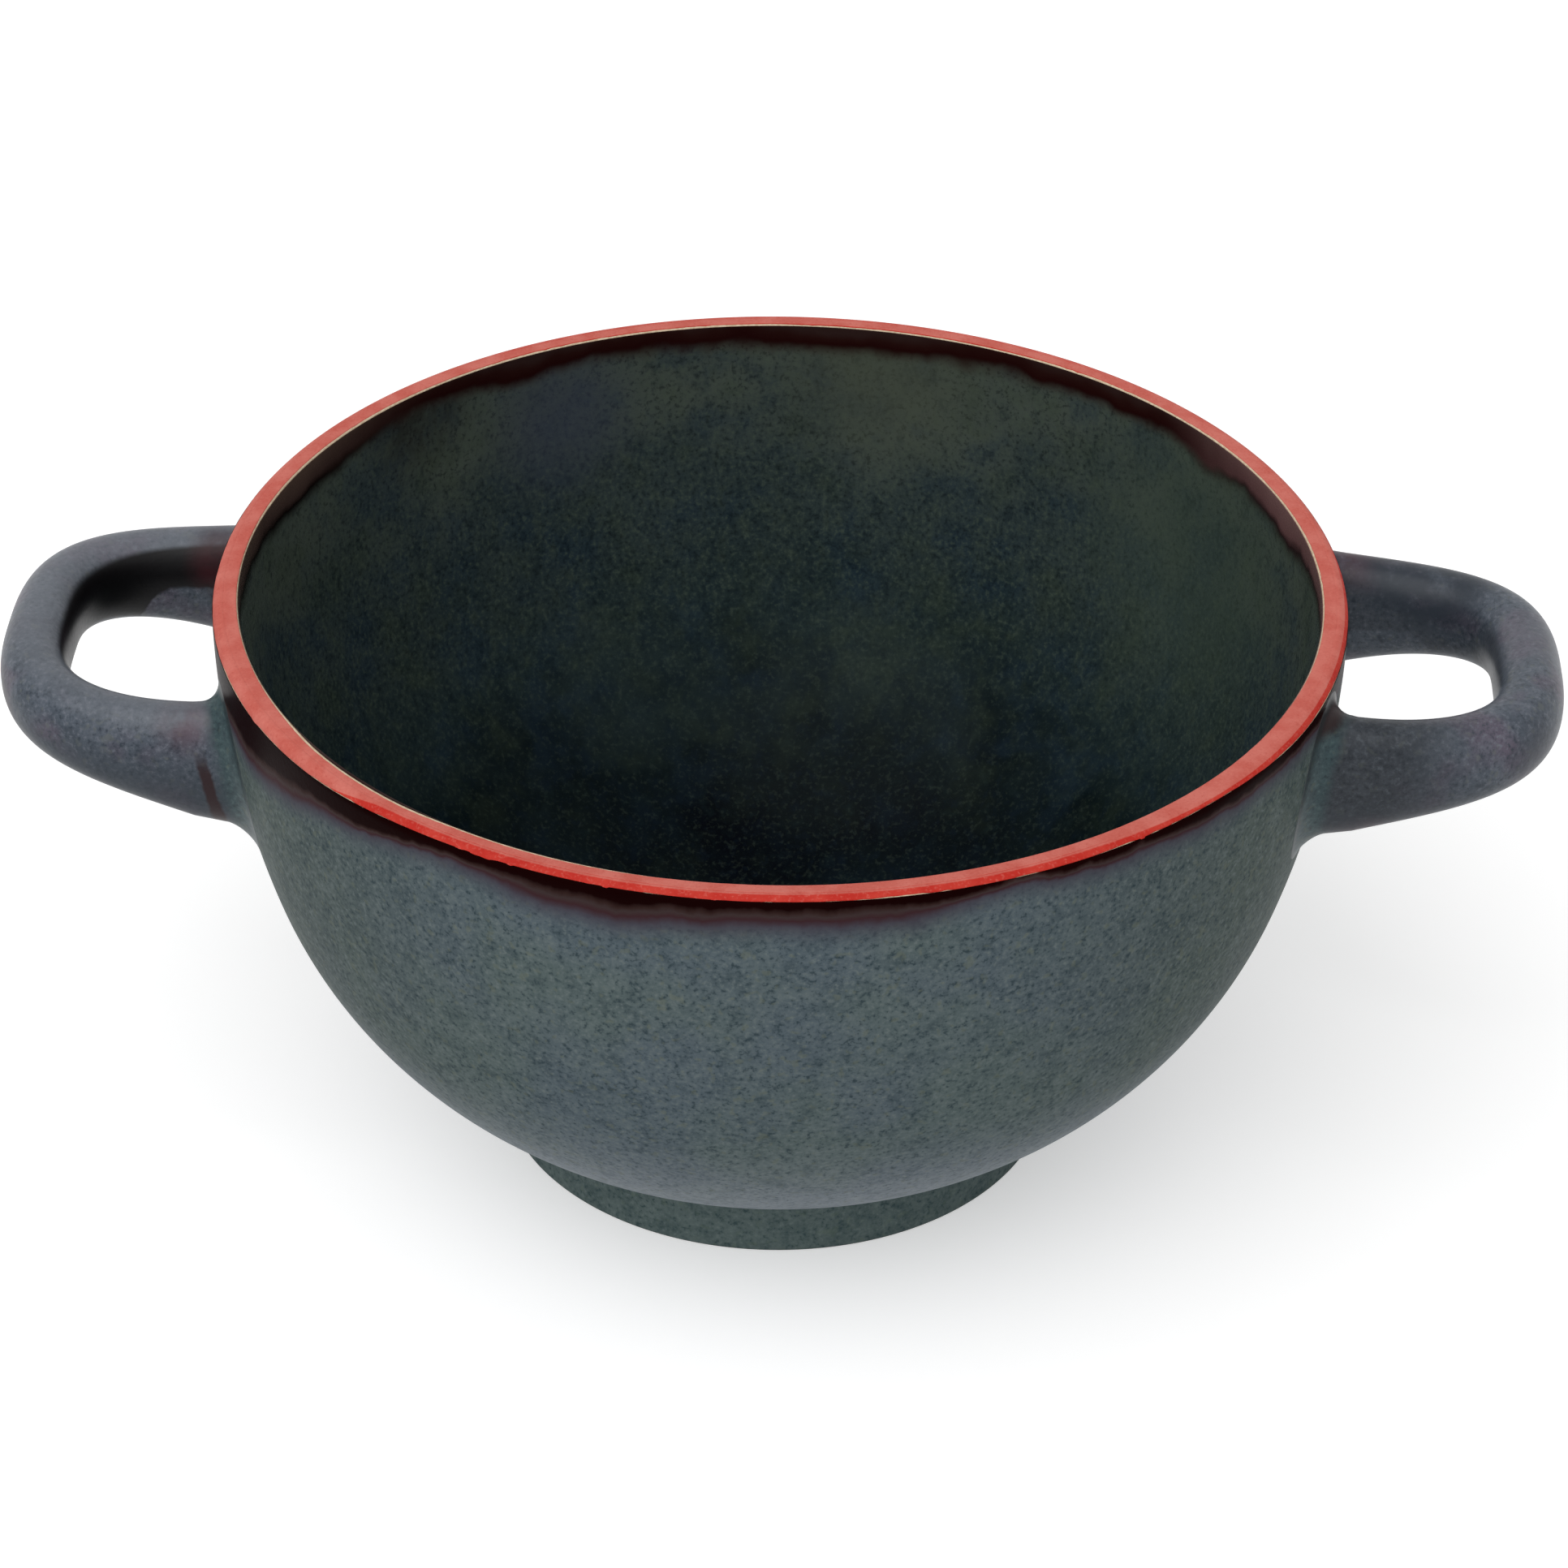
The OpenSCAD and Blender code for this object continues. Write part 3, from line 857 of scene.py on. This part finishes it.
def loop_wall(graph):
    """Blue-grey with purple clouds: painted light on top, mostly on the left, and painted shade low down and
    on the right handle's front arm."""
    purple = graph.span(graph.noise(8, 2, 0.5, shift=51), 0.46, 0.66)
    base = graph.mix(purple, srgb(72, 80, 90), srgb(84, 76, 90))
    wall = mottled(graph, base, srgb(106, 110, 120), srgb(42, 50, 60), srgb(94, 98, 94), shift=31,
                   strength=1.1)
    # Painted light on the bar's top, more on the left
    lit = graph.times(graph.span(graph.rise, *LIT_SPAN), graph.scaled(graph.left, 0.44, 0.08))
    wall = graph.mix(lit, wall, srgb(120, 124, 131))
    # Painted shade on the right handle's front arm, in darker mottled colours
    shaded = graph.times(graph.front, graph.right, graph.span(graph.share, *FRONT_ARM_SHADE_SHARES, 0, 0.95))
    front_arm_shade = mottled(graph, srgb(46, 50, 56), srgb(74, 80, 86), srgb(24, 30, 36), srgb(68, 72, 68), shift=91)
    wall = graph.mix(shaded, wall, front_arm_shade)
    # Painted shade low down on the bar, most on its front
    low = graph.times(graph.span(graph.rise, *UNDER_SHADE_SPAN), graph.scaled(graph.front, 0.55, 0.2))
    return graph.mix(low, wall, srgb(42, 50, 58))


def black_inside(graph):
    """How black the bar is, partly dark glaze and partly painted shade: its side towards the finger gap, all
    round the grip and high up on the arms, and weaker on the right handle's arms."""
    height = graph.scaled(graph.wander, 0.4, graph.rise)
    corner = graph.span(graph.share, *CORNER_SHARES, 0, CORNER_REACH)
    start = graph.scaled(graph.right, BLACK_START_RIGHT, BLACK_START)
    facing_in = graph.span(graph.math("SUBTRACT", graph.inside, start), 0, BLACK_FADE)
    high = graph.span(graph.add(height, corner), *BLACK_HEIGHTS)
    weaker = graph.times(graph.right, graph.span(graph.share, *WEAKER_SHARES), 0.7)
    return graph.times(facing_in, high, graph.math("SUBTRACT", 1.0, weaker))


def with_runs(graph, colour):
    """Glaze that has run: a teal pool at the wall, and a maroon streak down the left front arm."""
    teal = mottled(graph, srgb(50, 68, 72), srgb(76, 94, 95), srgb(28, 42, 48), srgb(80, 88, 76), shift=81)
    pool = graph.times(graph.span(graph.frayed_gap, *POOL_SPAN), graph.scaled(graph.front, 0.8, 0.2))
    colour = graph.mix(pool, colour, teal)
    across = graph.plateau(graph.scaled(graph.z, STREAK_SLANT, graph.frayed_gap), *STREAK_GAPS)
    streak = graph.times(across, graph.front, graph.left, graph.plateau(graph.z, *STREAK_HEIGHTS))
    return graph.mix(graph.times(streak, 0.95), colour, srgb(36, 10, 14))


def with_dark_root(graph, colour):
    """Darker glaze where an arm meets the wall just under the rim, and painted shade in the crease."""
    shaded = graph.times(graph.span(graph.depth(), *ROOT_DEPTHS), graph.span(graph.gap, *ROOT_SPAN))
    colour = graph.mix(shaded, colour, srgb(30, 12, 14))
    # Painted shade in the crease between the arm and the wall
    return graph.tinted(colour, srgb(34, 40, 42), 0.7, graph.gap, *CREASE_SHADE_SPAN)


def handle_glaze_material():
    """The same glaze on the handles: bluer, clouded purple, with painted light on top and painted shade low
    down, black inside the loop (partly painted shade), maroon where it runs.
    """
    graph = LoopGraph("handle_glaze")
    # Black inside the loop, partly dark glaze and partly painted shade
    colour = graph.mix(black_inside(graph), loop_wall(graph), srgb(8, 7, 9))
    colour = with_runs(graph, colour)
    for centre, radius, fade, tint, most in HANDLE_SPOTS:
        spot = graph.times(graph.ball(centre, radius, fade, most), graph.span(graph.wander, -1.2, 0.2))
        colour = graph.mix(spot, colour, tint)
    colour = with_dark_root(graph, colour)
    pits = graph.pits(shift=41, depth=0.02)
    return graph.finish(colour, graph.scaled(pits, 0.14, 0.3), specular=0.2)


# The lining: its colours at shares of a height, which darken towards the floor as painted shade, and the
# heights over which its casts, its light clouds and its grain come in
HOLLOW_HEIGHT = 75.0
HOLLOW_HUE_AND_SHADE_SHARES = ((0.1, srgb(0, 3, 9)), (0.27, srgb(12, 22, 24)), (0.45, srgb(36, 48, 49)),
                 (0.7, srgb(52, 63, 63)), (0.86, srgb(74, 83, 76)))
CAST_SPAN = (10, 34)
LIGHT_SPAN = (16, 40)
GRAIN_SPAN = (22, 46)

# The lining's upper edge: its colours at shares of a depth, in the middle, on the left and on the right,
# where the sides start along X, where the edge ends, and how much wider it is at the sides
EDGE_DEPTH = 8.0
MIDDLE_EDGE_SHARES = ((0.0, srgb(50, 34, 32)), (0.14, srgb(42, 20, 18)), (0.3, srgb(34, 8, 8)),
                      (0.45, srgb(48, 30, 26)), (0.65, srgb(62, 60, 52)))
LEFT_EDGE_SHARES = ((0.0, srgb(88, 70, 62)), (0.3, srgb(66, 50, 46)), (0.44, srgb(14, 6, 6)),
                    (0.6, srgb(40, 42, 38)))
RIGHT_EDGE_SHARES = ((0.0, srgb(124, 94, 92)), (0.34, srgb(104, 74, 74)), (0.46, srgb(40, 24, 26)),
                     (0.62, srgb(50, 54, 46)))
LEFT_SPAN = (-44, -60)
RIGHT_SPAN = (44, 60)
EDGE_END_SPAN = (2.0, 4.6)
SIDE_EDGE_MORE = 1.4

# Patches in the hollow, olive twice and blue: place, radius, fade, tint, and how much of it at most
HOLLOW_PATCHES = (
    ((10, 60, 67), 3, 14, srgb(80, 86, 72), 0.5),
    ((50, 34, 56), 6, 22, srgb(64, 78, 66), 0.45),
    ((-30, 53, 63), 2, 12, srgb(62, 68, 86), 0.5))

# The painted shadow in the hollow: place, radius and fade
PAINTED_SHADOW_PATCH = ((-47, 41, 71), 3, 9)


def hollow_wall(graph, tone):
    """Olive-black high up to blue-black on the floor, darker downwards as painted shade, with casts, clouds
    and a grain, fainter low down.
    """
    wander = graph.sway(graph.noise(18, 3, 0.6, shift=4), 18.0)
    # The glaze's hue from olive to blue, with painted shade that darkens it towards the floor
    base = graph.ramp(graph.add(graph.z, wander), HOLLOW_HEIGHT, HOLLOW_HUE_AND_SHADE_SHARES)
    cast = graph.noise(9, 3, 0.6, shift=54)
    # Casts darker low down, as painted shade
    high = graph.span(graph.z, *CAST_SPAN)
    blue = graph.mix(high, srgb(12, 24, 34), srgb(34, 50, 64))
    olive = graph.mix(high, srgb(22, 30, 24), srgb(52, 62, 46))
    colour = graph.tinted(base, blue, 0.4, cast, 0.5, 0.68)
    colour = graph.tinted(colour, olive, 0.3, cast, 0.5, 0.32)
    light = graph.mix(graph.span(graph.z, *LIGHT_SPAN), srgb(24, 38, 40), srgb(66, 76, 62))
    colour = graph.tinted(colour, light, 0.3, tone, 0.5, 0.74)
    colour = graph.tinted(colour, srgb(14, 26, 36), 0.4, tone, 0.5, 0.28)
    grain = graph.noise(0.6, 3, 0.6, shift=24)
    grainy = graph.span(graph.z, *GRAIN_SPAN, 0.3, 1.0)
    for end, tint in ((0.72, srgb(76, 88, 76)), (0.3, srgb(8, 14, 18))):
        colour = graph.mix(graph.times(graph.span(grain, 0.5, end, 0, 0.5), grainy), colour, tint)
    return colour


def with_patches(graph, tone, colour):
    """The olive and blue patches in the hollow, and a painted shadow."""
    for centre, radius, fade, tint, most in HOLLOW_PATCHES:
        colour = graph.mix(graph.ball(centre, radius, fade, most), colour, tint)
    # Painted shadow, dark maroon-black, high on the left of the hollow
    dark = graph.times(graph.ball(*PAINTED_SHADOW_PATCH), graph.span(tone, 0.3, 0.6, 0.25, 0.65))
    return graph.mix(dark, colour, srgb(24, 18, 20))


def with_edge(graph, colour):
    """A frayed maroon edge under the rim, which is wider at both sides."""
    level = graph.add(graph.depth(), graph.sway(graph.noise(13, 3, 0.6, shift=34), 3.0))
    left, right = graph.span(graph.x, *LEFT_SPAN), graph.span(graph.x, *RIGHT_SPAN)
    edge = graph.ramp(level, EDGE_DEPTH, MIDDLE_EDGE_SHARES)
    for side, shares in ((left, LEFT_EDGE_SHARES), (right, RIGHT_EDGE_SHARES)):
        edge = graph.mix(side, edge, graph.ramp(level, EDGE_DEPTH, shares))
    level = graph.math("SUBTRACT", level, graph.times(graph.add(left, right), SIDE_EDGE_MORE))
    return graph.mix(graph.span(level, *EDGE_END_SPAN), edge, colour)


def inner_glaze_material():
    """Very dark glaze, olive-black on the wall and blue-black on the floor, darker downwards as painted
    shade, with a painted shadow and a maroon upper edge.
    """
    graph = Graph("dark_glaze")
    tone = graph.noise(1.7, 3, 0.6, shift=14, stretch=(1, 1, 1.6))
    colour = with_edge(graph, with_patches(graph, tone, hollow_wall(graph, tone)))
    pits = graph.pits(shift=44, depth=0.012)
    return graph.finish(colour, graph.scaled(pits, 0.1, 0.22), specular=0.02)


# The rim band: the depths over which its top's paler colour, which is painted light and sheen, gives way to
# its face's, and how much deeper it does so at both sides and on the left, as more painted light there
FACE_SPAN = (0.01, 0.07)
BAND_SIDE_LIGHT = (34, 60, 0, 0.3)
BAND_LEFT_LIGHT = (-40, -50, 0, 0.9)


def rim_band_material():
    """Matte red slip, paler on the top of the lip with painted light and sheen, and deeper on its outer face.
    """
    graph = Graph("red_slip")
    cloud = graph.span(graph.noise(4.0, 3, 0.55, shift=6), 0.36, 0.66)
    # Painted light and sheen: the lip's top is paler
    top = graph.mix(cloud, srgb(196, 96, 84), srgb(206, 114, 102))
    face = graph.mix(cloud, srgb(188, 44, 34), srgb(198, 60, 48))
    fray = graph.sway(graph.noise(1.2, 3, 0.6, shift=26), 0.03)
    # The painted light reaches further down at both sides and on the left
    sides = graph.span(graph.math("ABSOLUTE", graph.x), *BAND_SIDE_LIGHT)
    painted_light_reach = graph.add(sides, graph.span(graph.x, *BAND_LEFT_LIGHT))
    drop = graph.math("SUBTRACT", graph.add(graph.depth(), fray), painted_light_reach)
    colour = graph.mix(graph.span(drop, *FACE_SPAN), top, face)
    grain = graph.noise(0.35, 2, 0.6, shift=16)
    colour = graph.tinted(colour, srgb(220, 132, 118), 0.3, grain, 0.52, 0.76)
    colour = graph.tinted(colour, srgb(160, 44, 36), 0.3, grain, 0.46, 0.24)
    graph.bump(grain, depth=0.03)
    return graph.finish(colour, roughness=0.65, specular=0.12)


# The clay: the heights over which its colour goes from the foot's to the lip's
CLAY_SPAN = (2, 12)


def clay_material():
    """Bare stoneware: cream at the lip, toasted brown on the foot's sole."""
    graph = Graph("bare_clay")
    grain = graph.noise(0.5, 3, 0.65, shift=8)
    light = graph.span(grain, 0.3, 0.7)
    cream = graph.mix(light, srgb(196, 172, 142), srgb(224, 206, 178))
    brown = graph.mix(light, srgb(112, 84, 66), srgb(148, 116, 92))
    colour = graph.mix(graph.span(graph.z, *CLAY_SPAN), brown, cream)
    graph.bump(grain, depth=0.05)
    return graph.finish(colour, roughness=0.8, specular=0.3)


# The stage. The camera's numbers come from the fit to the photo's outlines, with its angles in radians, its
# focal length in pixels of the photo, and the width of its sensor in millimetres.

CAMERA_DISTANCE = 600 * MM
CAMERA_RISE = math.radians(33.22)
CAMERA_TURN = 0.0455
CAMERA_ROLL = math.radians(0.70)
CAMERA_AIM = Vector((0.68 * MM, 0, 44.11 * MM))
FRAME_PIXELS = 1932
FOCAL_PIXELS = 6219
SENSOR = 36.0
CLIP_NEAR = 50 * MM
CLIP_FAR = 20.0

# The world's grey as a light, and the floor's glow where it is seen, its grey and half its width in metres
WORLD_LEVEL = 0.5
FLOOR_GLOW = 0.42
FLOOR_GREY = 0.8
FLOOR_HALF = 8.0
WHITE = (1, 1, 1, 1)


def make_camera():
    """The camera at the photograph's viewing angle, turned about Z from the front."""
    data = bpy.data.cameras.new("photo_camera")
    data.sensor_width = SENSOR
    data.sensor_fit = "HORIZONTAL"
    data.lens = FOCAL_PIXELS / FRAME_PIXELS * SENSOR
    data.clip_start = CLIP_NEAR
    data.clip_end = CLIP_FAR
    camera = bpy.data.objects.new("photo_camera", data)
    bpy.context.scene.collection.objects.link(camera)
    forward = Vector((0, math.cos(CAMERA_RISE), -math.sin(CAMERA_RISE)))
    right = Vector((1, 0, 0))
    up = right.cross(forward)
    rolled_right = right * math.cos(CAMERA_ROLL) + up * math.sin(CAMERA_ROLL)
    rolled_up = up * math.cos(CAMERA_ROLL) - right * math.sin(CAMERA_ROLL)
    axes = Matrix((rolled_right, rolled_up, -forward)).transposed().to_4x4()
    spot = Matrix.Translation(CAMERA_AIM - forward * CAMERA_DISTANCE)
    camera.matrix_world = Matrix.Rotation(CAMERA_TURN, 4, "Z") @ spot @ axes
    bpy.context.scene.camera = camera


def seen(nodes, links):
    """1 for rays that show the background: straight from the camera, or by a glossy or clear surface."""
    path = nodes.new("ShaderNodeLightPath")
    total = path.outputs["Is Camera Ray"]
    for name in ("Is Glossy Ray", "Is Transmission Ray"):
        most = nodes.new("ShaderNodeMath")
        most.operation = "MAXIMUM"
        links.new(total, most.inputs[0])
        links.new(path.outputs[name], most.inputs[1])
        total = most.outputs[0]
    return total


def make_floor():
    """A matte white floor, which glows for rays that show the background, so that it looks white."""
    corners = [(x * FLOOR_HALF, y * FLOOR_HALF, 0) for x, y in ((-1, -1), (1, -1), (1, 1), (-1, 1))]
    mesh = bpy.data.meshes.new("floor")
    mesh.from_pydata(corners, [], [(0, 1, 2, 3)])
    floor = bpy.data.objects.new("floor", mesh)
    bpy.context.scene.collection.objects.link(floor)
    material = bpy.data.materials.new("floor_white")
    material.use_nodes = True
    nodes, links = material.node_tree.nodes, material.node_tree.links
    shader = nodes["Principled BSDF"]
    shader.inputs["Base Color"].default_value = (FLOOR_GREY, FLOOR_GREY, FLOOR_GREY, 1)
    shader.inputs["Roughness"].default_value = 1.0
    shader.inputs["Specular IOR Level"].default_value = 0.0
    shader.inputs["Emission Color"].default_value = WHITE
    shown = nodes.new("ShaderNodeMath")
    shown.operation = "MULTIPLY"
    links.new(seen(nodes, links), shown.inputs[0])
    shown.inputs[1].default_value = FLOOR_GLOW
    links.new(shown.outputs[0], shader.inputs["Emission Strength"])
    mesh.materials.append(material)


def make_world():
    """A world that lights with an even grey and shows as white."""
    world = bpy.data.worlds.new("studio")
    world.use_nodes = True
    nodes, links = world.node_tree.nodes, world.node_tree.links
    mix = nodes.new("ShaderNodeMix")
    mix.data_type = "RGBA"
    links.new(seen(nodes, links), mix.inputs[MIX_FACTOR])
    mix.inputs[MIX_A].default_value = (WORLD_LEVEL, WORLD_LEVEL, WORLD_LEVEL, 1)
    mix.inputs[MIX_B].default_value = WHITE
    links.new(mix.outputs[MIX_OUT], nodes["Background"].inputs["Color"])
    bpy.context.scene.world = world


def make_sun(name, azimuth, elevation, spread, strength):
    """A soft sun from an azimuth measured from the front towards +X, in degrees."""
    data = bpy.data.lights.new(name, "SUN")
    data.energy = strength
    data.angle = math.radians(spread)
    light = bpy.data.objects.new(name, data)
    bpy.context.scene.collection.objects.link(light)
    turn, rise = math.radians(azimuth), math.radians(elevation)
    source = Vector((math.sin(turn) * math.cos(rise), -math.cos(turn) * math.cos(rise), math.sin(rise)))
    light.rotation_euler = source.to_track_quat("Z", "Y").to_euler()


clay = clay_material()
handle_glaze = handle_glaze_material()
make_bowl_body(clay)
make_foot_ring(clay)
make_rim_band(rim_band_material())
make_inner_glaze(inner_glaze_material())
make_outer_glaze(outer_glaze_material())
make_handle("left_lug", "left_handle", LEFT_SEAT, -1, handle_glaze)
make_handle("right_lug", "right_handle", RIGHT_SEAT, 1, handle_glaze)

make_camera()
make_floor()
make_world()
make_sun("key", azimuth=-25, elevation=55, spread=60, strength=1.6)

bpy.context.scene.view_settings.view_transform = "Standard"
